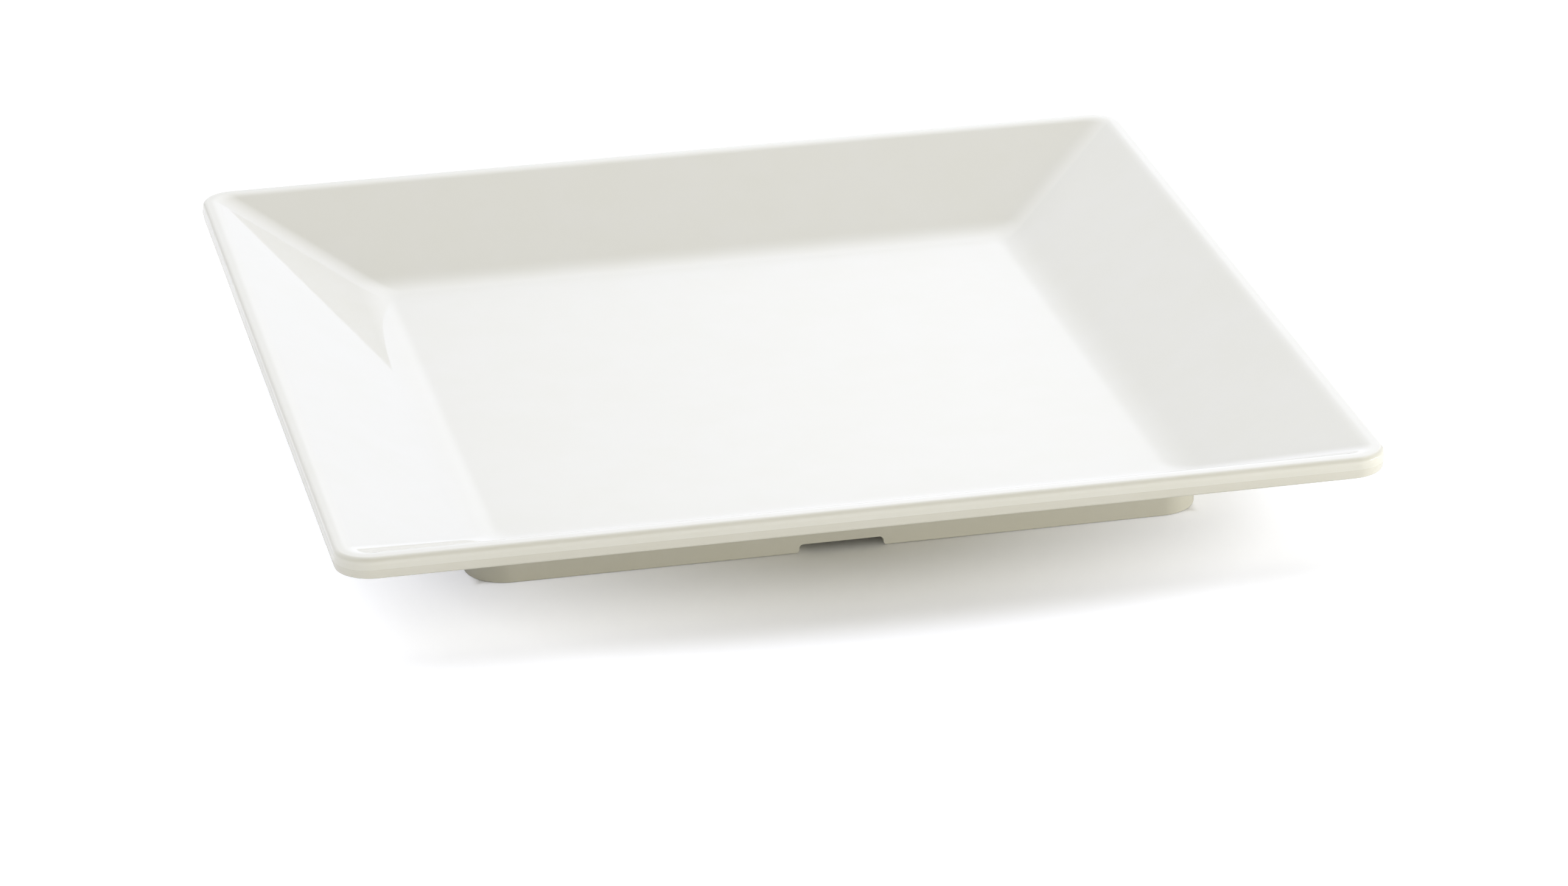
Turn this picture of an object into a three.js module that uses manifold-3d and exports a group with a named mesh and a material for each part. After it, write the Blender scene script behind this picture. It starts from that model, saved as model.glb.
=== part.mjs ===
// Square serving tray in moulded plastic: two pressed layers that meet in a fine line round the rim,
// and a square foot ring with a drain notch in each side. Millimetres, +Z up, the foot stands on z = 0.
import * as THREE from 'three';
import { mergeVertices } from 'three/addons/utils/BufferGeometryUtils.js';
import Module from 'manifold-3d';

// Tray, overall
const trayWidth = 250; // square, over the rim at the seam
const trayHeight = 25.6; // table to the top of the rim
const rimCornerRadius = 8.6; // in plan, at the rim's outer edge

// Dish
const floorWidth = 170.3; // where the planes of floor and walls would meet
const floorHeight = 8.7; // table to the top of the floor
const floorFillet = 22; // concave, between floor and walls

// Rim
const rimTop = 3.8; // outer edge to the line where the planes of the rim's top and the wall would meet
const landRound = 7; // convex, between the rim's flat top and the wall
const rimEdgeRadius = 1.2; // outer edge of the rim's top
const upperBandHeight = 2.9; // rim's top to the seam
const lowerBandHeight = 2.5; // seam to the underside of the rim
const lowerBandInset = 0.4; // how far the lower band leans in at its bottom
const lowerBandRound = 0.8;
const flareHeight = 1.2; // above the seam the upper band flares out
const flareReach = 0.2;
const seamStep = 0.1; // the lower band stands back this far at the seam

// Layers
const upperThickness = 2;
const lowerThickness = 1.9;
const bondLine = 0.3; // gap between the layers on the slopes

// Foot
const footOverhang = 4; // foot's outer face beyond the edge of the floor
const footThickness = 5;
const footCornerRadius = 10;
const footEdgeRadius = 0.5;
const footRootFillet = 1.5; // concave, where the foot's root meets the wall's underside
const tongueWidth = 2; // on top of the foot ring, all the way round
const tongueHeight = 1.2;
const grooveClearance = 0.3;

// Drain notches, one in the middle of each side of the foot
const notchWidth = 20.5;
const notchHeight = 2.3;
const notchTopRadius = 1;
const notchMouthRadius = 1.1;

// Facets
const cornerSteps = 6; // a corner of the square, in plan
const filletSteps = 6; // the floor fillet and the rim
const roundSteps = 3; // smaller rounds
const samePlace = 1e-6; // points of a profile that are closer than this are one point
const weldDistance = 1e-4; // vertices of a solid to be cut that are closer than this are one vertex

// Places that follow from those sizes
const trayHalf = trayWidth / 2;
const seamHeight = trayHeight - upperBandHeight;
const rimBottom = seamHeight - lowerBandHeight;
const edgeHalf = trayHalf - flareReach; // the upper band's upright face
const landHalf = trayHalf - rimTop;
const valleyRadius = rimCornerRadius - rimTop;
const floorHalf = floorWidth / 2;
const wallSlope = Math.atan2(trayHeight - floorHeight, landHalf - floorHalf);
const jointHeight = floorHeight - upperThickness; // the layers lie on each other here
const jointFillet = floorFillet + upperThickness;
const footHeight = jointHeight - lowerThickness; // table to the base's underside
const footHalf = floorHalf + footOverhang;
const footInnerHalf = footHalf - footThickness;
const footMidHalf = footHalf - footThickness / 2;

const plastic = { color: 0xefede4, roughness: 0.22, metalness: 0 };

// A profile point: half the square's width, height, corner radius in plan, and how the point is rounded
function point(half, z, corner, round = 0, steps = 0) {
  return { half, z, corner, round, steps };
}

function distance(a, b) {
  return Math.hypot(a.half - b.half, a.z - b.z);
}

// Half width at height z of the wall's inner face, moved square to itself towards the outside
function wallHalf(z, offset) {
  return floorHalf + (z - floorHeight + offset / Math.cos(wallSlope)) / Math.tan(wallSlope);
}

// Height of that same face at a half width
function wallHeight(half, offset) {
  return floorHeight + (half - floorHalf) * Math.tan(wallSlope) - offset / Math.cos(wallSlope);
}

// Corner radius in plan of a point on the outside of the rim
function rimCorner(half) {
  return rimCornerRadius + half - trayHalf;
}

// Corner radius that keeps the wall's thickness round a corner
function wallCorner(offset) {
  return valleyRadius + offset / Math.sin(wallSlope);
}

// Corner radius in plan of a point on the foot
function footCorner(half) {
  return footCornerRadius + half - footHalf;
}

// An arc in place of the profile point b, between its neighbours a and c
function roundPoint(a, b, c) {
  const corner = new THREE.Vector2(b.half, b.z);
  const back = new THREE.Vector2(a.half, a.z).sub(corner);
  const ahead = new THREE.Vector2(c.half, c.z).sub(corner);
  const halfAngle = back.angleTo(ahead) / 2;
  const reach = b.round / Math.tan(halfAngle);
  const backShare = reach / back.length();
  const aheadShare = reach / ahead.length();
  back.normalize();
  ahead.normalize();
  const middle = back.clone().add(ahead).normalize();
  const centre = middle.multiplyScalar(b.round / Math.sin(halfAngle)).add(corner);
  const from = back.multiplyScalar(reach).add(corner).sub(centre);
  const to = ahead.multiplyScalar(reach).add(corner).sub(centre);
  const turn = Math.atan2(from.cross(to), from.dot(to));
  const startCorner = THREE.MathUtils.lerp(b.corner, a.corner, backShare);
  const endCorner = THREE.MathUtils.lerp(b.corner, c.corner, aheadShare);
  const arc = [];
  for (let i = 0; i <= b.steps; i += 1) {
    const t = i / b.steps;
    const place = from.clone().rotateAround(new THREE.Vector2(), turn * t).add(centre);
    const inPlan = (1 - t) ** 2 * startCorner + 2 * t * (1 - t) * b.corner + t ** 2 * endCorner;
    arc.push(point(place.x, place.y, inPlan));
  }
  return arc;
}

// The profile with its rounded points opened out into arcs
function roundedProfile(points) {
  const count = points.length;
  const opened = points.flatMap((p, i) => {
    if (p.round === 0) {
      return [p];
    }
    return roundPoint(points[(i + count - 1) % count], p, points[(i + 1) % count]);
  });
  return opened.filter((p, i) => i === 0 || distance(p, opened[i - 1]) > samePlace);
}

// A square with round corners, anticlockwise from above
function squareRing({ half, z, corner }) {
  const straight = half - corner;
  const ring = [];
  for (let side = 0; side < 4; side += 1) {
    const signX = side === 0 || side === 3 ? 1 : -1;
    const signY = side < 2 ? 1 : -1;
    for (let i = 0; i <= cornerSteps; i += 1) {
      const angle = (side + i / cornerSteps) * (Math.PI / 2);
      const x = signX * straight + corner * Math.cos(angle);
      const y = signY * straight + corner * Math.sin(angle);
      ring.push(new THREE.Vector3(x, y, z));
    }
  }
  return ring;
}

// A solid whose section is carried round a square: a closed profile gives a ring. An open one runs from the
// middle of the top, over the outside, to the middle of the bottom, and its ends are closed flat
function squareSolid(points, closed) {
  const rings = roundedProfile(points).map(squareRing);
  const perRing = rings[0].length;
  const vertices = rings.flat();
  const index = [];
  const bands = closed ? rings.length : rings.length - 1;
  for (let i = 0; i < bands; i += 1) {
    const here = i * perRing;
    const next = ((i + 1) % rings.length) * perRing;
    for (let j = 0; j < perRing; j += 1) {
      const k = (j + 1) % perRing;
      index.push(here + j, next + j, next + k);
      index.push(here + j, next + k, here + k);
    }
  }
  if (!closed) {
    const top = vertices.length;
    const bottom = top + 1;
    const last = (rings.length - 1) * perRing;
    vertices.push(new THREE.Vector3(0, 0, rings[0][0].z));
    vertices.push(new THREE.Vector3(0, 0, rings[rings.length - 1][0].z));
    for (let j = 0; j < perRing; j += 1) {
      const k = (j + 1) % perRing;
      index.push(top, j, k);
      index.push(bottom, last + k, last + j);
    }
  }
  const geometry = new THREE.BufferGeometry().setFromPoints(vertices);
  geometry.setIndex(index);
  return geometry;
}

// Boolean cuts
const wasm = await Module();
wasm.setup();

function toManifold(geometry) {
  const bare = geometry.clone();
  bare.deleteAttribute('normal');
  bare.deleteAttribute('uv');
  const merged = mergeVertices(bare, weldDistance);
  const vertProperties = new Float32Array(merged.attributes.position.array);
  const triVerts = new Uint32Array(merged.index.array);
  return new wasm.Manifold(new wasm.Mesh({ numProp: 3, vertProperties, triVerts }));
}

function toGeometry(manifold) {
  const mesh = manifold.getMesh();
  const geometry = new THREE.BufferGeometry();
  geometry.setAttribute('position', new THREE.BufferAttribute(new Float32Array(mesh.vertProperties), 3));
  geometry.setIndex(new THREE.BufferAttribute(new Uint32Array(mesh.triVerts), 1));
  return geometry;
}

function piece(name, geometry) {
  geometry.computeVertexNormals();
  const mesh = new THREE.Mesh(geometry, new THREE.MeshStandardMaterial(plastic));
  mesh.name = name;
  return mesh;
}

// Dish, walls, and the rim's top and upper band, with a flat seam face under the rim
function upperShell() {
  const under = wallCorner(upperThickness);
  return squareSolid([
    point(floorHalf / 2, floorHeight, valleyRadius),
    point(floorHalf, floorHeight, valleyRadius, floorFillet, filletSteps),
    point(landHalf, trayHeight, valleyRadius, landRound, filletSteps),
    point(edgeHalf, trayHeight, rimCorner(edgeHalf), rimEdgeRadius, filletSteps),
    point(edgeHalf, seamHeight + flareHeight, rimCorner(edgeHalf)),
    point(trayHalf, seamHeight, rimCornerRadius),
    point(wallHalf(seamHeight, upperThickness), seamHeight, under),
    point(wallHalf(jointHeight, upperThickness), jointHeight, under, jointFillet, filletSteps),
    point(floorHalf / 2, jointHeight, under),
  ], false);
}

// Backing layer: follows the dish from below, carries the rim's lower band and the root of the foot
function lowerShell() {
  const aboveOffset = upperThickness + bondLine;
  const belowOffset = aboveOffset + lowerThickness;
  const above = wallCorner(aboveOffset);
  const below = wallCorner(belowOffset);
  const bandTop = trayHalf - seamStep;
  const bandBottom = bandTop - lowerBandInset;
  const grooveOuter = footMidHalf + tongueWidth / 2 + grooveClearance;
  const grooveInner = footMidHalf - tongueWidth / 2 - grooveClearance;
  const grooveTop = footHeight + tongueHeight + grooveClearance;
  return squareSolid([
    point(floorHalf / 2, jointHeight, above),
    point(wallHalf(jointHeight, aboveOffset), jointHeight, above, jointFillet, filletSteps),
    point(wallHalf(seamHeight, aboveOffset), seamHeight, above),
    point(bandTop, seamHeight, rimCorner(bandTop)),
    point(bandBottom, rimBottom, rimCorner(bandBottom), lowerBandRound, roundSteps),
    point(wallHalf(rimBottom, belowOffset), rimBottom, below),
    point(footHalf, wallHeight(footHalf, belowOffset), footCornerRadius, footRootFillet, roundSteps),
    point(footHalf, footHeight, footCornerRadius),
    point(grooveOuter, footHeight, footCorner(grooveOuter)),
    point(grooveOuter, grooveTop, footCorner(grooveOuter)),
    point(grooveInner, grooveTop, footCorner(grooveInner)),
    point(grooveInner, footHeight, footCorner(grooveInner)),
    point(floorHalf / 2, footHeight, footCorner(grooveInner)),
  ], false);
}

// Outline of a notch from the front: round at its top, flared at its mouth, open below the foot
function notchOutline() {
  const side = notchWidth / 2;
  const mouth = side + notchMouthRadius;
  const topSide = side - notchTopRadius; // centres of the top's rounds
  const topHeight = notchHeight - notchTopRadius;
  const below = -notchHeight;
  const shape = new THREE.Shape();
  shape.moveTo(-mouth, below);
  shape.lineTo(mouth, below);
  shape.lineTo(mouth, 0);
  shape.absarc(mouth, notchMouthRadius, notchMouthRadius, -Math.PI / 2, -Math.PI, true);
  shape.absarc(topSide, topHeight, notchTopRadius, 0, Math.PI / 2, false);
  shape.absarc(-topSide, topHeight, notchTopRadius, Math.PI / 2, Math.PI, false);
  shape.absarc(-mouth, notchMouthRadius, notchMouthRadius, 0, -Math.PI / 2, true);
  return shape;
}

// Square foot with a tongue on top and a drain notch through the middle of each side
function footRing() {
  const tongueOuter = footMidHalf + tongueWidth / 2;
  const tongueInner = footMidHalf - tongueWidth / 2;
  const tongueTop = footHeight + tongueHeight;
  const ring = squareSolid([
    point(footInnerHalf, footHeight, footCorner(footInnerHalf)),
    point(tongueInner, footHeight, footCorner(tongueInner)),
    point(tongueInner, tongueTop, footCorner(tongueInner)),
    point(tongueOuter, tongueTop, footCorner(tongueOuter)),
    point(tongueOuter, footHeight, footCorner(tongueOuter)),
    point(footHalf, footHeight, footCornerRadius),
    point(footHalf, 0, footCornerRadius, footEdgeRadius, roundSteps),
    point(footInnerHalf, 0, footCorner(footInnerHalf), footEdgeRadius, roundSteps),
  ], true);
  const depth = footThickness * 2;
  const extrusion = { depth, bevelEnabled: false, curveSegments: roundSteps };
  let solid = toManifold(ring);
  for (let side = 0; side < 4; side += 1) {
    const cutter = new THREE.ExtrudeGeometry(notchOutline(), extrusion);
    cutter.rotateX(Math.PI / 2);
    cutter.translate(0, depth / 2 - footMidHalf, 0);
    cutter.rotateZ((side * Math.PI) / 2);
    solid = solid.subtract(toManifold(cutter));
  }
  return toGeometry(solid);
}

const tray = new THREE.Group();
tray.add(piece('upper_shell', upperShell()));
tray.add(piece('lower_shell', lowerShell()));
tray.add(piece('foot_ring', footRing()));

export default tray;
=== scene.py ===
# Square serving tray in glossy off-white melamine: two pressed layers and a foot ring
from math import atan2, cos, pi, radians, sin, tan
import bmesh
import bpy
from mathutils import Matrix, Vector


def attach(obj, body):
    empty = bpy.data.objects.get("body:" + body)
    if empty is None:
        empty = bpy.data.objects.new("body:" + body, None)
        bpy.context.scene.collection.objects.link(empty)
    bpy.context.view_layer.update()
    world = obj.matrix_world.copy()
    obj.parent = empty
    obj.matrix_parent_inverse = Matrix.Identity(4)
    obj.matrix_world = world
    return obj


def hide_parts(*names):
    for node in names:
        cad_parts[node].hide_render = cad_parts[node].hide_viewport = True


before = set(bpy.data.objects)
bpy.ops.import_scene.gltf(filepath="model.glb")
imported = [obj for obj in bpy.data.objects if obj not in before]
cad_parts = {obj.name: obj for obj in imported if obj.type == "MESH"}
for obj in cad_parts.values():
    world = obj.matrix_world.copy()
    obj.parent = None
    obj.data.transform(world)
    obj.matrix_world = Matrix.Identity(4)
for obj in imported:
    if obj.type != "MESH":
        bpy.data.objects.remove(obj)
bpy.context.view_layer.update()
scene = bpy.context.scene
scene.view_settings.view_transform = 'Standard'
mm = 0.001
print("frame loaded:", ", ".join(sorted(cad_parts)))

# Camera
photoView = {
    "sensor": 36,
    "lens": 137.95,
    "azimuth": -11.973,  # degrees, towards the tray's left
    "elevation": 22.628,
    "roll": -0.993,
    "distance": 1506.5,  # millimetres from the tray's middle
    "moveRight": 5.4,  # camera's own right and up
    "moveUp": -8.0,
    "clipStart": 0.05,  # metres
    "clipEnd": 50,
}


def addCamera(view):
    turnRound = Matrix.Rotation(radians(view["azimuth"]), 4, 'Z')
    lookDown = Matrix.Rotation(radians(90 - view["elevation"]), 4, 'X')
    roll = Matrix.Rotation(radians(view["roll"]), 4, 'Z')
    turn = turnRound @ lookDown @ roll
    place = turn @ Vector((view["moveRight"], view["moveUp"], view["distance"]))
    bpy.ops.object.camera_add(location=place * mm, rotation=turn.to_euler())
    camera = bpy.context.object
    camera.name = "photo_camera"
    camera.data.sensor_width = view["sensor"]
    camera.data.lens = view["lens"]
    camera.data.clip_start = view["clipStart"]
    camera.data.clip_end = view["clipEnd"]
    scene.camera = camera


addCamera(photoView)
print("camera set")


# Nodes and colours
def linear(hexColour):  # sRGB hex to the linear values that a shader takes
    channels = [int(hexColour[i:i + 2], 16) / 255 for i in (0, 2, 4)]
    return [c / 12.92 if c <= 0.04045 else ((c + 0.055) / 1.055) ** 2.4 for c in channels] + [1.0]


def addNode(tree, kind, settings, inputs):  # a socket given as an input is linked, a value is set
    node = tree.nodes.new(kind)
    for name, value in settings.items():
        setattr(node, name, value)
    for name, value in inputs.items():
        if isinstance(value, bpy.types.NodeSocket):
            tree.links.new(value, node.inputs[name])
        else:
            node.inputs[name].default_value = value
    return node


def emptyTree(owner):  # a world or a material, with no nodes yet
    owner.use_nodes = True
    owner.node_tree.nodes.clear()
    return owner.node_tree


soft = {"interpolation_type": 'SMOOTHSTEP'}
white = (1.0, 1.0, 1.0, 1.0)

# Studio sky: the light that falls on the tray, and the screens that its polish mirrors
sky = {
    "around": 0.15,  # light from all sides
    "back": 5.93,  # from behind, most of it from half-way up
    "front": 0.91,  # fill from the front
    "backTint": (0.98, 1.0, 1.1, 1.0),  # cool from behind, warm from the front
    "frontTint": (1.03, 1.0, 0.88, 1.0),
    "tintTurn": (-0.4, 0.5),  # along Y: this and the spans below are parts of a direction one long
    "whiteLeft": 0.75,  # mirrored screens at the left, the back and the right
    "whiteBack": 0.98,
    "whiteRight": 1.55,
    "whiteLowRight": 1.42,
    "leftToBack": (-0.02, 0.1),  # along X
    "backToRight": (0.1, 0.23),
    "lowToHigh": (0.28, 0.36),  # along Z
    "whiteAbove": 0.35,  # added by a soft box above the back
    "boxFoot": (0.42, 0.55),
    "boxHead": (0.88, 0.72),
    "leftEdge": (-0.26, -0.21),  # ends of the screens, along X
    "rightEdge": (0.64, 0.52),
    "frontEdge": (-0.4, 0.0),  # along Y
    "room": 0.4,  # mirrored beyond the screens
}


def addSky(values):
    scene.world = bpy.data.worlds.new("studio_world")
    tree = emptyTree(scene.world)
    aim = addNode(tree, 'ShaderNodeTexCoord', {}, {}).outputs["Generated"]  # direction of the ray
    axes = addNode(tree, 'ShaderNodeSeparateXYZ', {}, {"Vector": aim})
    right, back, up = axes.outputs

    # Falling light
    fromBack = addNode(tree, 'ShaderNodeMath', {"operation": 'MAXIMUM'}, {0: back, 1: 0.0})
    fromFront = addNode(tree, 'ShaderNodeMath', {"operation": 'MULTIPLY'}, {0: back, 1: -1.0})
    fromFront = addNode(tree, 'ShaderNodeMath', {"operation": 'MAXIMUM'}, {0: fromFront.outputs[0], 1: 0.0})
    fromAbove = addNode(tree, 'ShaderNodeMath', {"operation": 'MAXIMUM'}, {0: up, 1: 0.0})
    light = addNode(tree, 'ShaderNodeMath', {"operation": 'MULTIPLY'},
                    {0: fromAbove.outputs[0], 1: values["back"]})
    light = addNode(tree, 'ShaderNodeMath', {"operation": 'MULTIPLY_ADD'},
                    {0: light.outputs[0], 1: fromBack.outputs[0], 2: values["around"]})
    light = addNode(tree, 'ShaderNodeMath', {"operation": 'MULTIPLY_ADD'},
                    {0: fromFront.outputs[0], 1: values["front"], 2: light.outputs[0]})

    # Mirrored screens
    atRight = addNode(tree, 'ShaderNodeMapRange', soft,
                      {"Value": up, "From Min": values["lowToHigh"][0], "From Max": values["lowToHigh"][1],
                       "To Min": values["whiteLowRight"], "To Max": values["whiteRight"]})
    screens = addNode(tree, 'ShaderNodeMapRange', soft,
                      {"Value": right,
                       "From Min": values["backToRight"][0], "From Max": values["backToRight"][1],
                       "To Min": values["whiteBack"], "To Max": atRight.outputs[0]})
    screens = addNode(tree, 'ShaderNodeMapRange', soft,
                      {"Value": right,
                       "From Min": values["leftToBack"][0], "From Max": values["leftToBack"][1],
                       "To Min": values["whiteLeft"], "To Max": screens.outputs[0]})
    boxFoot = addNode(tree, 'ShaderNodeMapRange', soft,
                      {"Value": up, "From Min": values["boxFoot"][0], "From Max": values["boxFoot"][1]})
    boxHead = addNode(tree, 'ShaderNodeMapRange', soft,
                      {"Value": up, "From Min": values["boxHead"][0], "From Max": values["boxHead"][1],
                       "To Max": values["whiteAbove"]})
    screens = addNode(tree, 'ShaderNodeMath', {"operation": 'MULTIPLY_ADD'},
                      {0: boxFoot.outputs[0], 1: boxHead.outputs[0], 2: screens.outputs[0]})
    onScreen = 1.0
    for edge, axis in (("leftEdge", right), ("rightEdge", right), ("frontEdge", back)):
        inside = addNode(tree, 'ShaderNodeMapRange', soft,
                         {"Value": axis, "From Min": values[edge][0], "From Max": values[edge][1]})
        onScreen = addNode(tree, 'ShaderNodeMath', {"operation": 'MULTIPLY'},
                           {0: inside.outputs[0], 1: onScreen}).outputs[0]
    mirrored = addNode(tree, 'ShaderNodeMix', {"data_type": 'FLOAT'},
                       {"Factor": onScreen, "A": values["room"], "B": screens.outputs[0]})

    # The camera itself sees plain white
    path = addNode(tree, 'ShaderNodeLightPath', {}, {})
    inMirror = addNode(tree, 'ShaderNodeMath', {"operation": 'MAXIMUM'},
                       {0: path.outputs["Is Glossy Ray"], 1: path.outputs["Is Transmission Ray"]})
    strength = addNode(tree, 'ShaderNodeMix', {"data_type": 'FLOAT'},
                       {"Factor": inMirror.outputs[0], "A": light.outputs[0], "B": mirrored.outputs[0]})
    strength = addNode(tree, 'ShaderNodeMix', {"data_type": 'FLOAT'},
                       {"Factor": path.outputs["Is Camera Ray"], "A": strength.outputs[0], "B": 1.0})
    coolness = addNode(tree, 'ShaderNodeMapRange', soft,
                       {"Value": back, "From Min": values["tintTurn"][0], "From Max": values["tintTurn"][1]})
    tint = addNode(tree, 'ShaderNodeMix', {"data_type": 'RGBA'},
                   {"Factor": coolness.outputs[0], "A": values["frontTint"], "B": values["backTint"]})
    tint = addNode(tree, 'ShaderNodeMix', {"data_type": 'RGBA'},
                   {"Factor": path.outputs["Is Camera Ray"], "A": tint.outputs["Result"], "B": white})
    shine = addNode(tree, 'ShaderNodeBackground', {},
                    {"Color": tint.outputs["Result"], "Strength": strength.outputs[0]})
    addNode(tree, 'ShaderNodeOutputWorld', {}, {"Surface": shine.outputs[0]})


addSky(sky)

# Studio floor: a white paper sheet, with painted light for the camera and a painted shadow
sheet = {
    "size": 8.0,  # metres
    "drop": 0.05,  # millimetres under the foot
    "colour": "F9F9F9",
    "glow": 0.45,  # lifts the sheet to white round the shadow, for the camera only
    "glowTint": (0.98, 1.0, 1.1, 1.0),
    "shadowMiddle": (4, -60),  # millimetres, the shadow that the photo keeps
    "shadowReach": (102, 101),
    "shadowFade": (0.33, 1.05),  # parts of that reach
    "shadowGlow": 0.03,  # what the sheet keeps of its lift in the shadow
    "baseEdge": (85, 89),  # millimetres from the middle: the sheet is not lifted under the base
}


def addFloor(values):
    bpy.ops.mesh.primitive_plane_add(size=values["size"], location=(0, 0, -values["drop"] * mm))
    bpy.ops.object.transform_apply(location=True, rotation=True, scale=True)
    floor = bpy.context.object
    floor.name = "studio_floor"
    paper = bpy.data.materials.new("white_paper_sweep")
    tree = emptyTree(paper)
    place = addNode(tree, 'ShaderNodeTexCoord', {}, {}).outputs["Object"]
    middle = [c * mm for c in values["shadowMiddle"]] + [0]
    reach = [c * mm for c in values["shadowReach"]] + [1]
    away = addNode(tree, 'ShaderNodeMapping', {"vector_type": 'TEXTURE'},
                   {"Vector": place, "Location": middle, "Scale": reach})
    away = addNode(tree, 'ShaderNodeVectorMath', {"operation": 'LENGTH'}, {0: away.outputs[0]})
    # painted light and shadow: the sheet glows for the camera only, and the glow is dimmed inside an ellipse
    # in front of the tray, a painted shadow over the rendered one
    glow = addNode(tree, 'ShaderNodeMapRange', {},
                   {"Value": away.outputs["Value"],
                    "From Min": values["shadowFade"][0], "From Max": values["shadowFade"][1],
                    "To Min": values["shadowGlow"], "To Max": values["glow"]})
    distance = addNode(tree, 'ShaderNodeVectorMath', {"operation": 'ABSOLUTE'}, {0: place})
    distance = addNode(tree, 'ShaderNodeSeparateXYZ', {}, {"Vector": distance.outputs[0]})
    distance = addNode(tree, 'ShaderNodeMath', {"operation": 'MAXIMUM'},
                       {0: distance.outputs["X"], 1: distance.outputs["Y"]})
    nearest, farthest = [c * mm for c in values["baseEdge"]]
    clear = addNode(tree, 'ShaderNodeMapRange', soft,
                    {"Value": distance.outputs[0], "From Min": nearest, "From Max": farthest})
    path = addNode(tree, 'ShaderNodeLightPath', {}, {})
    clear = addNode(tree, 'ShaderNodeMath', {"operation": 'MULTIPLY'},
                    {0: clear.outputs[0], 1: path.outputs["Is Camera Ray"]})
    glow = addNode(tree, 'ShaderNodeMath', {"operation": 'MULTIPLY'},
                   {0: glow.outputs[0], 1: clear.outputs[0]})
    matt = addNode(tree, 'ShaderNodeBsdfPrincipled', {},
                   {"Base Color": linear(values["colour"]), "Roughness": 1.0, "Specular IOR Level": 0.0,
                    "Emission Color": values["glowTint"], "Emission Strength": glow.outputs[0]})
    addNode(tree, 'ShaderNodeOutputMaterial', {}, {"Surface": matt.outputs[0]})
    floor.data.materials.append(paper)


addFloor(sheet)

# Studio lamp: a low strip at the right, under the level of the rim
stripLamp = {
    "place": (0.5, -0.25, 0.012),  # metres
    "size": (0.2, 0.02),
    "power": 0.9,
    "tint": (1.0, 0.98, 0.9),
}


def addLamp(values):
    towardsTray = (-Vector(values["place"])).to_track_quat('-Z', 'Y').to_euler()
    bpy.ops.object.light_add(type='AREA', location=values["place"], rotation=towardsTray)
    lamp = bpy.context.object
    lamp.name = "right_strip_lamp"
    lamp.data.shape = 'RECTANGLE'
    lamp.data.size, lamp.data.size_y = values["size"]
    lamp.data.energy = values["power"]
    lamp.data.color = values["tint"]


addLamp(stripLamp)
print("studio set")

# Melamine
melamine = {
    "ior": 1.55,
    "mottle": 14,  # millimetres across a patch of tone
    "mottleSpan": (0.35, 0.65),  # of the noise
    "sheenPatch": 30,  # millimetres across a patch of gloss
    "sheenSpan": (0.3, 0.7),
    "peel": 2.5,  # millimetres between the ripples of the moulded skin
    "peelHeight": 0.001,
}
dishFinish = {"tone": "E5E4DC", "warmTone": "E4E3DA", "smoothest": 0.015, "roughest": 0.03}
# the base's tone is darker than the dish's as painted shade: the lower band and foot sit in shade under the
# rim; its rougher skin is real
baseShadedFinish = {"tone": "DAD8CE", "warmTone": "D9D7CC", "smoothest": 0.25, "roughest": 0.27}


def makeMelamine(name, values, finish):
    # Pressed melamine: hard white resin with a polished or a duller skin and hardly any mottle; a darker
    # tone passed in is painted shade
    material = bpy.data.materials.new(name)
    tree = emptyTree(material)
    place = addNode(tree, 'ShaderNodeTexCoord', {}, {}).outputs["Object"]
    mottle = addNode(tree, 'ShaderNodeTexNoise', {},
                     {"Vector": place, "Scale": 1 / (values["mottle"] * mm),
                      "Detail": 4.0, "Roughness": 0.55})
    tone = addNode(tree, 'ShaderNodeMapRange', {},
                   {"Value": mottle.outputs["Fac"],
                    "From Min": values["mottleSpan"][0], "From Max": values["mottleSpan"][1]})
    colour = addNode(tree, 'ShaderNodeMix', {"data_type": 'RGBA'},
                     {"Factor": tone.outputs[0],
                      "A": linear(finish["tone"]), "B": linear(finish["warmTone"])})
    patch = addNode(tree, 'ShaderNodeTexNoise', {},
                    {"Vector": place, "Scale": 1 / (values["sheenPatch"] * mm), "Detail": 3.0})
    gloss = addNode(tree, 'ShaderNodeMapRange', {},
                    {"Value": patch.outputs["Fac"],
                     "From Min": values["sheenSpan"][0], "From Max": values["sheenSpan"][1],
                     "To Min": finish["smoothest"], "To Max": finish["roughest"]})
    peel = addNode(tree, 'ShaderNodeTexNoise', {},
                   {"Vector": place, "Scale": 1 / (values["peel"] * mm), "Detail": 1.0})
    skin = addNode(tree, 'ShaderNodeBump', {},
                   {"Height": peel.outputs["Fac"], "Strength": 1.0, "Distance": values["peelHeight"] * mm})
    resin = addNode(tree, 'ShaderNodeBsdfPrincipled', {},
                    {"Base Color": colour.outputs["Result"], "Roughness": gloss.outputs[0],
                     "IOR": values["ior"], "Normal": skin.outputs[0]})
    addNode(tree, 'ShaderNodeOutputMaterial', {}, {"Surface": resin.outputs[0]})
    return material


polished = makeMelamine("melamine_polished", melamine, dishFinish)
# base material: real rougher skin, with its tone darkened as painted shade
satinShaded = makeMelamine("melamine_satin_shaded", melamine, baseShadedFinish)
print("melamine mixed")


# Shaping: each piece is a section carried round a square with round corners
shaping = {
    "weldDistance": 0.002,  # millimetres, where the last ring of a section meets the first
    "smoothAngle": 32,  # degrees, sharper edges stay crisp
}


def point(half, height, corner, bend=0, steps=1):  # a section point, and the arc that rounds it
    return {"half": half, "height": height, "corner": corner, "bend": bend, "steps": steps}


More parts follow.
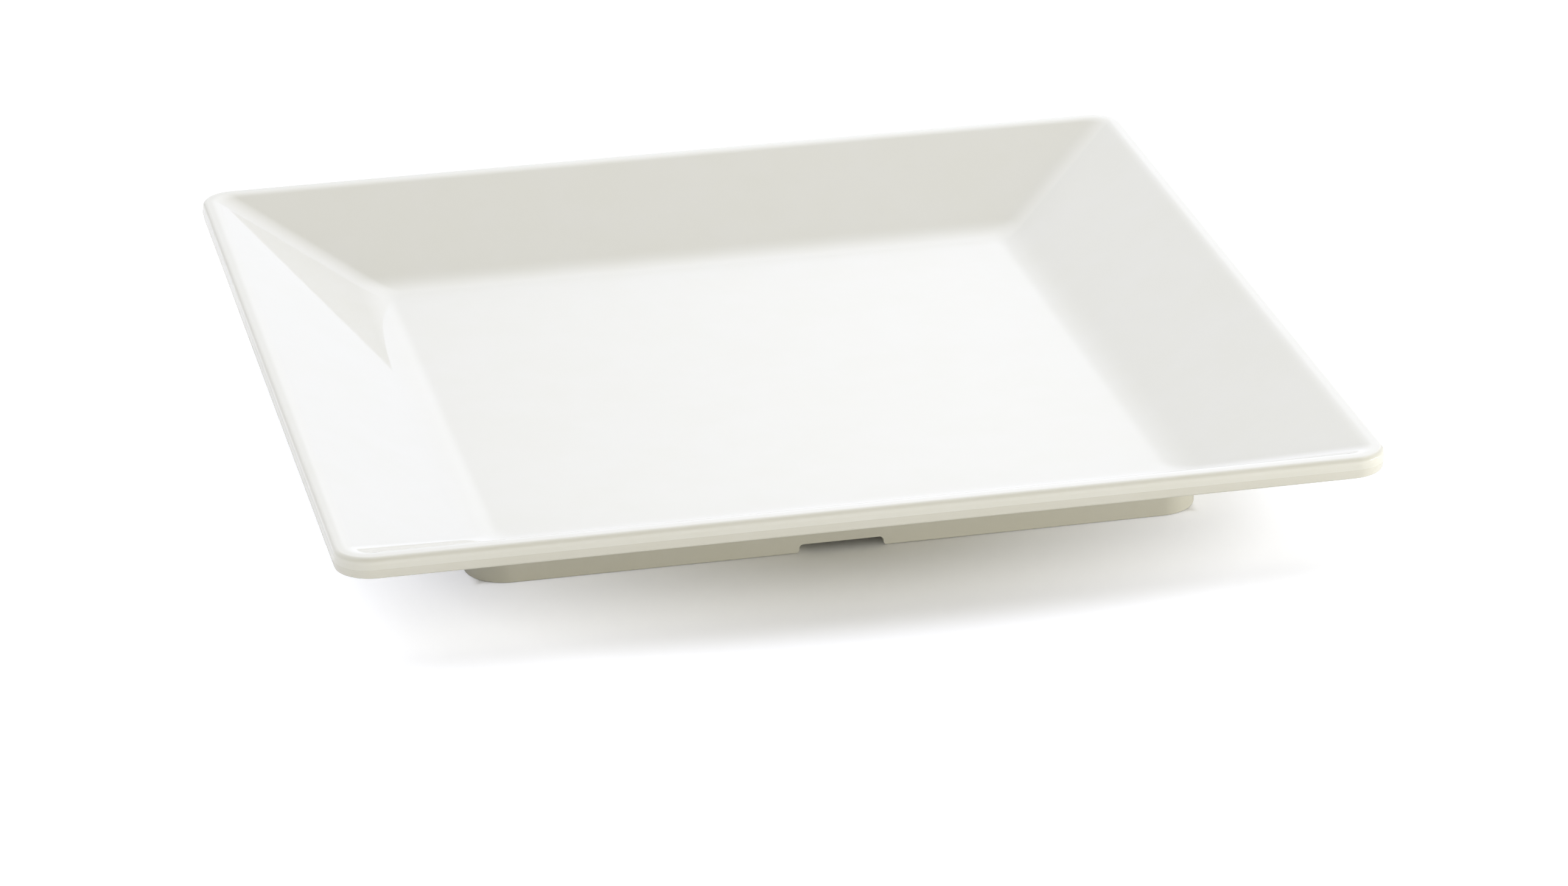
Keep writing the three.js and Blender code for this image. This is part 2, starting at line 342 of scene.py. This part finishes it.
def openArc(before, here, after):  # the section points that round one corner of the section
    corner = Vector((here["half"], here["height"]))
    back = Vector((before["half"], before["height"])) - corner
    ahead = Vector((after["half"], after["height"])) - corner
    halfAngle = back.angle(ahead) / 2
    reach = here["bend"] / tan(halfAngle)
    startCorner = here["corner"] + (before["corner"] - here["corner"]) * reach / back.length
    endCorner = here["corner"] + (after["corner"] - here["corner"]) * reach / ahead.length
    middle = (back.normalized() + ahead.normalized()).normalized()
    centre = corner + middle * here["bend"] / sin(halfAngle)
    start = corner + back.normalized() * reach - centre
    end = corner + ahead.normalized() * reach - centre
    turn = atan2(start.x * end.y - start.y * end.x, start.dot(end))
    arc = []
    for i in range(here["steps"] + 1):
        t = i / here["steps"]
        spot = centre + Matrix.Rotation(turn * t, 2) @ start
        inPlan = (1 - t) ** 2 * startCorner + 2 * t * (1 - t) * here["corner"] + t ** 2 * endCorner
        arc.append(point(spot.x, spot.y, inPlan))
    return arc


def roundSection(points):
    section = []
    for i, here in enumerate(points):
        if here["bend"]:
            section += openArc(points[i - 1], here, points[(i + 1) % len(points)])
        else:
            section.append(here)
    return section


def selectWhere(piece, test):  # in edit mode, by place
    shape = bmesh.from_edit_mesh(piece.data)
    for vertex in shape.verts:
        vertex.select = test(vertex.co)
    shape.select_flush_mode()
    bmesh.update_edit_mesh(piece.data)


def selectQuarter(piece, ringVertices, signX, signY):  # one corner of the ring that was just extruded
    shape = bmesh.from_edit_mesh(piece.data)
    for vertex in shape.verts:
        inQuarter = vertex.co.x * signX > 0 and vertex.co.y * signY > 0
        vertex.select = inQuarter and vertex.index in ringVertices
    shape.select_flush_mode()
    bmesh.update_edit_mesh(piece.data)


def growRing(piece, old, new):  # extrudes the selected face to the next ring of the section
    rise = (new["height"] - old["height"]) * mm
    bpy.ops.mesh.extrude_region_move(TRANSFORM_OT_translate={"value": (0, 0, rise)})
    shape = bmesh.from_edit_mesh(piece.data)
    ringVertices = {vertex.index for vertex in shape.verts if vertex.select}
    oldCentre = (old["half"] - old["corner"]) * mm
    move = (new["half"] - new["corner"]) * mm - oldCentre
    scale = new["corner"] / old["corner"]
    for signX in (-1, 1):
        for signY in (-1, 1):
            selectQuarter(piece, ringVertices, signX, signY)
            centre = (signX * oldCentre, signY * oldCentre, new["height"] * mm)
            bpy.ops.transform.resize(value=(scale, scale, 1), center_override=centre)
            bpy.ops.transform.translate(value=(signX * move, signY * move, 0))
    shape = bmesh.from_edit_mesh(piece.data)
    for vertex in shape.verts:
        vertex.select = vertex.index in ringVertices
    shape.select_flush_mode()
    bmesh.update_edit_mesh(piece.data)


def loftPiece(name, points, segments, closed):
    rings = roundSection(points)
    first = rings[0]
    bpy.ops.object.select_all(action='DESELECT')
    bpy.ops.mesh.primitive_plane_add(size=2 * first["half"] * mm, location=(0, 0, first["height"] * mm))
    bpy.ops.object.transform_apply(location=True, rotation=True, scale=True)
    piece = bpy.context.object
    piece.name = name
    bpy.ops.object.mode_set(mode='EDIT')
    bpy.ops.mesh.select_mode(type='VERT')
    bpy.ops.mesh.select_all(action='SELECT')
    bpy.ops.mesh.bevel(offset=first["corner"] * mm, affect='VERTICES', segments=segments, profile=0.5)
    bpy.ops.mesh.select_all(action='SELECT')
    for old, new in zip(rings, rings[1:]):
        growRing(piece, old, new)
    if closed:  # the last ring meets the first, and the faces across both go
        growRing(piece, rings[-1], first)
        bpy.ops.mesh.delete(type='ONLY_FACE')
        bpy.ops.mesh.select_mode(type='FACE')
        bpy.ops.mesh.select_face_by_sides(number=4, type='GREATER', extend=False)
        bpy.ops.mesh.delete(type='ONLY_FACE')
        bpy.ops.mesh.select_mode(type='VERT')
        bpy.ops.mesh.select_all(action='SELECT')
        bpy.ops.mesh.remove_doubles(threshold=shaping["weldDistance"] * mm)
    bpy.ops.mesh.select_all(action='SELECT')
    bpy.ops.mesh.normals_make_consistent(inside=False)
    bpy.ops.object.mode_set(mode='OBJECT')
    return piece


def finishPiece(piece, node, material):
    bpy.ops.object.select_all(action='DESELECT')
    piece.select_set(True)
    bpy.context.view_layer.objects.active = piece
    bpy.ops.object.shade_smooth_by_angle(angle=radians(shaping["smoothAngle"]))
    piece.modifiers.new("flat_faces", 'WEIGHTED_NORMAL').keep_sharp = True  # broad faces stay flat
    bpy.ops.object.modifier_apply(modifier="flat_faces")
    piece.data.materials.clear()
    piece.data.materials.append(material)
    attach(piece, "root")
    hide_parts(node)
    print(piece.name, "made:", len(piece.data.polygons), "faces")


# Tray: sizes that its pieces share, in millimetres
tray = {
    "width": 250,
    "height": 25.6,
    "rimCorner": 8.6,  # in plan
    "floorWidth": 170.3,
    "floorHeight": 8.7,
    "rimTop": 3.8,  # outer edge to the wall
    "upperBand": 2.9,  # rim's top to the seam
    "edgeRadius": 1.2,  # outer edge of the rim
    "flareHeight": 1.2,  # above the seam the upper band flares out
    "flareReach": 0.2,
    "upperThickness": 2,
    "lowerThickness": 1.9,
    "bondLine": 0.3,
    "cornerSegments": 20,
}
outerHalf = tray["width"] / 2
floorHalf = tray["floorWidth"] / 2
landHalf = outerHalf - tray["rimTop"]
valley = tray["rimCorner"] - tray["rimTop"]  # corner radius inside the dish
wallSlope = atan2(tray["height"] - tray["floorHeight"], landHalf - floorHalf)
edgeHalf = outerHalf - tray["flareReach"]
seamHeight = tray["height"] - tray["upperBand"]
jointHeight = tray["floorHeight"] - tray["upperThickness"]
footTop = jointHeight - tray["lowerThickness"]


def wallHalf(height, inwards):  # half width of the wall's inner face, moved square to itself into the wall
    return floorHalf + (height - tray["floorHeight"] + inwards / cos(wallSlope)) / tan(wallSlope)


def wallHeight(half, inwards):
    return tray["floorHeight"] + (half - floorHalf) * tan(wallSlope) - inwards / cos(wallSlope)


def wallCorner(inwards):
    return valley + inwards / sin(wallSlope)


def rimCorner(half):
    return tray["rimCorner"] + half - outerHalf


# Upper shell: dish, walls, top of the rim
upperShell = {
    "floorFillet": 22,
    "landRound": 7,  # rolls the wall over into the rim
    "flareRound": 3,
    "seamRound": 0.05,  # arris above the seam
    "filletSteps": 16,
    "edgeSteps": 12,
    "flareSteps": 6,
    "seamSteps": 4,
    "underSteps": 6,
}


def buildUpperShell(values):
    thickness = tray["upperThickness"]
    under = wallCorner(thickness)
    fillet = values["floorFillet"]
    section = [
        point(floorHalf / 2, tray["floorHeight"], valley),
        point(floorHalf, tray["floorHeight"], valley, fillet, values["filletSteps"]),
        point(landHalf, tray["height"], valley, values["landRound"], values["edgeSteps"]),
        point(edgeHalf, tray["height"], rimCorner(edgeHalf), tray["edgeRadius"], values["edgeSteps"]),
        point(edgeHalf, seamHeight + tray["flareHeight"], rimCorner(edgeHalf),
              values["flareRound"], values["flareSteps"]),
        point(outerHalf, seamHeight, tray["rimCorner"], values["seamRound"], values["seamSteps"]),
        point(wallHalf(seamHeight, thickness), seamHeight, under),
        point(wallHalf(jointHeight, thickness), jointHeight, under,
              fillet + thickness, values["underSteps"]),
        point(floorHalf / 2, jointHeight, under),
    ]
    piece = loftPiece("dish_upper_shell", section, tray["cornerSegments"], False)
    finishPiece(piece, "upper_shell", polished)


buildUpperShell(upperShell)

# Lower shell: backing layer, lower band of the rim, root of the foot
lowerShell = {
    "bandHeight": 2.5,  # seam to the underside of the rim
    "bandInset": 0.4,  # lean of the lower band
    "bandRound": 0.8,
    "seamStep": 0.1,  # the lower band stands back at the seam
    "seamRound": 0.05,
    "rimUnderRound": 2.0,  # underside of the rim into the wall
    "footOverhang": 4,  # foot beyond the edge of the floor
    "footThickness": 5,
    "footCorner": 10,
    "rootFillet": 1.5,
    "tongueWidth": 2,
    "tongueHeight": 1.2,
    "grooveClearance": 0.3,
    "jointSteps": 6,
    "seamSteps": 4,
    "bandSteps": 8,
    "rootSteps": 10,
}
footHalf = floorHalf + lowerShell["footOverhang"]
footMiddle = footHalf - lowerShell["footThickness"] / 2


def footCorner(half):
    return lowerShell["footCorner"] - (footHalf - half)


def buildLowerShell(values):
    aboveDepth = tray["upperThickness"] + tray["bondLine"]
    belowDepth = aboveDepth + tray["lowerThickness"]
    above = wallCorner(aboveDepth)
    below = wallCorner(belowDepth)
    bandTop = outerHalf - values["seamStep"]
    bandBottom = bandTop - values["bandInset"]
    rimBottom = seamHeight - values["bandHeight"]
    grooveHalf = values["tongueWidth"] / 2 + values["grooveClearance"]
    grooveOuter = footMiddle + grooveHalf
    grooveInner = footMiddle - grooveHalf
    grooveTop = footTop + values["tongueHeight"] + values["grooveClearance"]
    fillet = upperShell["floorFillet"] + tray["upperThickness"]
    section = [
        point(floorHalf / 2, jointHeight, above),
        point(wallHalf(jointHeight, aboveDepth), jointHeight, above, fillet, values["jointSteps"]),
        point(wallHalf(seamHeight, aboveDepth), seamHeight, above),
        point(bandTop, seamHeight, rimCorner(bandTop), values["seamRound"], values["seamSteps"]),
        point(bandBottom, rimBottom, rimCorner(bandBottom), values["bandRound"], values["bandSteps"]),
        point(wallHalf(rimBottom, belowDepth), rimBottom, below,
              values["rimUnderRound"], values["bandSteps"]),
        point(footHalf, wallHeight(footHalf, belowDepth), values["footCorner"],
              values["rootFillet"], values["rootSteps"]),
        point(footHalf, footTop, values["footCorner"]),
        point(grooveOuter, footTop, footCorner(grooveOuter)),
        point(grooveOuter, grooveTop, footCorner(grooveOuter)),
        point(grooveInner, grooveTop, footCorner(grooveInner)),
        point(grooveInner, footTop, footCorner(grooveInner)),
        point(floorHalf / 2, footTop, footCorner(grooveInner)),
    ]
    piece = loftPiece("base_lower_shell", section, tray["cornerSegments"], False)
    finishPiece(piece, "lower_shell", satinShaded)


buildLowerShell(lowerShell)

# Foot ring with a drain notch in each side
footRing = {
    "edgeRadius": 0.5,
    "edgeSteps": 8,
    "notchWidth": 20.5,
    "notchHeight": 2.3,
    "notchTopRadius": 1,
    "notchMouthRadius": 1.1,
    "notchSteps": 8,
    "cutterPast": 10,  # how far the cutter stands out past the foot
    "cutterWing": 3,  # how far it spreads under the foot beside the notch
}


def addNotchCutter(values, turned):  # outline of the notch, drawn out right across the tray
    side = values["notchWidth"] / 2 * mm
    top = values["notchHeight"] * mm
    reach = (footHalf + values["cutterPast"]) * mm
    wing = values["cutterWing"] * mm
    steps = values["notchSteps"]
    bpy.ops.object.select_all(action='DESELECT')
    bpy.ops.mesh.primitive_plane_add(size=2 * side, location=(0, -reach, 0), rotation=(pi / 2, 0, 0))
    bpy.ops.object.transform_apply(location=True, rotation=True, scale=True)
    cutter = bpy.context.object
    bpy.ops.object.mode_set(mode='EDIT')
    bpy.ops.mesh.select_mode(type='VERT')
    selectWhere(cutter, lambda place: place.z > 0)
    bpy.ops.transform.translate(value=(0, 0, top - side))
    selectWhere(cutter, lambda place: place.z < 0)
    bpy.ops.transform.translate(value=(0, 0, side))
    throughFoot = (0, 0, -2 * top)
    bpy.ops.mesh.extrude_region_move(TRANSFORM_OT_translate={"value": throughFoot})
    for way in (-1, 1):  # wings under the foot
        selectWhere(cutter, lambda place: place.z < 0.1 * top and place.x * way > 0.9 * side)
        bpy.ops.mesh.extrude_region_move(TRANSFORM_OT_translate={"value": (way * wing, 0, 0)})
    bpy.ops.mesh.select_all(action='SELECT')
    bpy.ops.mesh.dissolve_limited(angle_limit=0.01)
    selectWhere(cutter, lambda place: place.z > 0.9 * top)
    topRadius = values["notchTopRadius"] * mm
    bpy.ops.mesh.bevel(offset=topRadius, affect='VERTICES', segments=steps, profile=0.5)
    selectWhere(cutter, lambda place: abs(place.z) < 0.1 * mm and abs(place.x) < 1.1 * side)
    mouthRadius = values["notchMouthRadius"] * mm
    bpy.ops.mesh.bevel(offset=mouthRadius, affect='VERTICES', segments=steps, profile=0.5)
    bpy.ops.mesh.select_all(action='SELECT')
    bpy.ops.mesh.extrude_region_move(TRANSFORM_OT_translate={"value": (0, 2 * reach, 0)})
    bpy.ops.mesh.select_all(action='SELECT')
    bpy.ops.mesh.normals_make_consistent(inside=False)
    if turned:
        bpy.ops.transform.rotate(value=pi / 2, orient_axis='Z', center_override=(0, 0, 0))
    bpy.ops.object.mode_set(mode='OBJECT')
    return cutter


def buildFootRing(values):
    inner = footHalf - lowerShell["footThickness"]
    tongueOuter = footMiddle + lowerShell["tongueWidth"] / 2
    tongueInner = footMiddle - lowerShell["tongueWidth"] / 2
    tongueTop = footTop + lowerShell["tongueHeight"]
    section = [
        point(inner, footTop, footCorner(inner)),
        point(tongueInner, footTop, footCorner(tongueInner)),
        point(tongueInner, tongueTop, footCorner(tongueInner)),
        point(tongueOuter, tongueTop, footCorner(tongueOuter)),
        point(tongueOuter, footTop, footCorner(tongueOuter)),
        point(footHalf, footTop, lowerShell["footCorner"]),
        point(footHalf, 0, lowerShell["footCorner"], values["edgeRadius"], values["edgeSteps"]),
        point(inner, 0, footCorner(inner), values["edgeRadius"], values["edgeSteps"]),
    ]
    piece = loftPiece("foot_ring_moulded", section, tray["cornerSegments"], True)
    for turned in (False, True):
        cutter = addNotchCutter(values, turned)
        bpy.context.view_layer.objects.active = piece
        cut = piece.modifiers.new("notch", 'BOOLEAN')
        cut.operation = 'DIFFERENCE'
        cut.object = cutter
        cut.solver = 'EXACT'
        bpy.ops.object.modifier_apply(modifier="notch")
        bpy.data.objects.remove(cutter)
    finishPiece(piece, "foot_ring", satinShaded)


buildFootRing(footRing)
